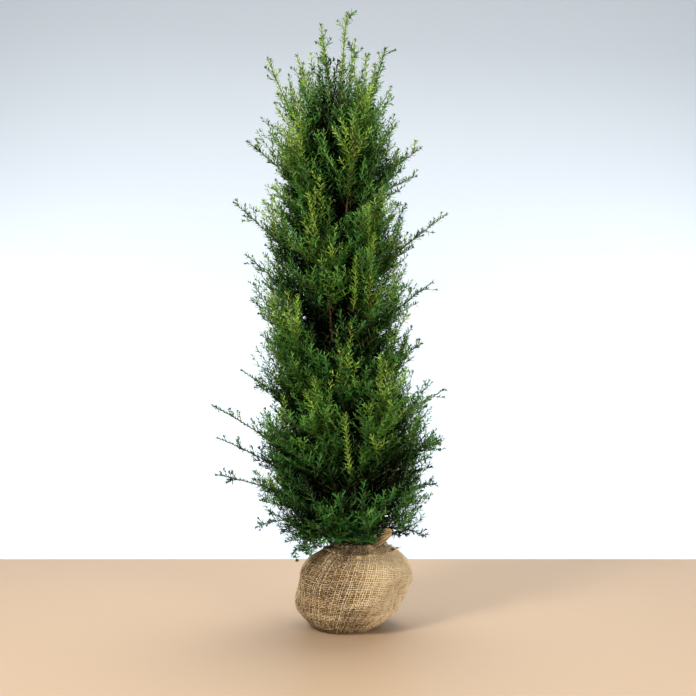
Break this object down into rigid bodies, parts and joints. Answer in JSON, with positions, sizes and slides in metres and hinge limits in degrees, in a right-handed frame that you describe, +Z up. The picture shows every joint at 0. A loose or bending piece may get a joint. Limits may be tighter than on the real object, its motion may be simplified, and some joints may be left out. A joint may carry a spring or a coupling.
{
  "type": "root-balled yew tree",
  "caption": "Young upright yew with a dense narrow crown of needle sprays on one trunk, standing on a root ball wrapped in sacking.",
  "frame": {"origin": "middle of the flat underside of the root ball, on the ground", "axes": "+Z up along the trunk; the tree is seen from the front when looking along +Y, with +X to the right"},
  "size_m": [0.8365, 0.5906, 2.207],
  "materials": {
    "needles": "leathery green needles, slightly glossy",
    "bark": "rough reddish-brown bark",
    "sacking": "woven natural jute sacking, dusty with soil"
  },
  "bodies": {
    "root": {"bough_back_1": "bark", "bough_back_2": "bark", "bough_back_3": "bark", "bough_front_1": "bark", "bough_front_2": "bark", "bough_front_3": "bark", "foliage_back_1": "needles", "foliage_back_2": "needles", "foliage_back_3": "needles", "foliage_back_4": "needles", "foliage_back_5": "needles", "foliage_back_6": "needles", "foliage_back_7": "needles", "foliage_back_8": "needles", "foliage_bough_back_1": "needles", "foliage_bough_back_2": "needles", "foliage_bough_back_3": "needles", "foliage_bough_front_1": "needles", "foliage_bough_front_2": "needles", "foliage_bough_front_3": "needles", "foliage_front_1": "needles", "foliage_front_2": "needles", "foliage_front_3": "needles", "foliage_front_4": "needles", "foliage_front_5": "needles", "foliage_front_6": "needles", "foliage_front_7": "needles", "foliage_front_8": "needles", "foliage_leader_1": "needles", "foliage_leader_2": "needles", "foliage_leader_3": "needles", "foliage_leader_4": "needles", "foliage_leader_5": "needles", "foliage_leader_6": "needles", "foliage_leader_7": "needles", "foliage_left_1": "needles", "foliage_left_2": "needles", "foliage_left_3": "needles", "foliage_left_4": "needles", "foliage_left_5": "needles", "foliage_left_6": "needles", "foliage_left_7": "needles", "foliage_left_8": "needles", "foliage_left_9": "needles", "foliage_low_1": "needles", "foliage_low_2": "needles", "foliage_low_3": "needles", "foliage_low_4": "needles", "foliage_low_5": "needles", "foliage_right_1": "needles", "foliage_right_2": "needles", "foliage_right_3": "needles", "foliage_right_4": "needles", "foliage_right_5": "needles", "foliage_right_6": "needles", "foliage_right_7": "needles", "foliage_right_8": "needles", "root_ball": "sacking", "sacking_knot": "sacking", "trunk": "bark"}
  },
  "joints": []
}
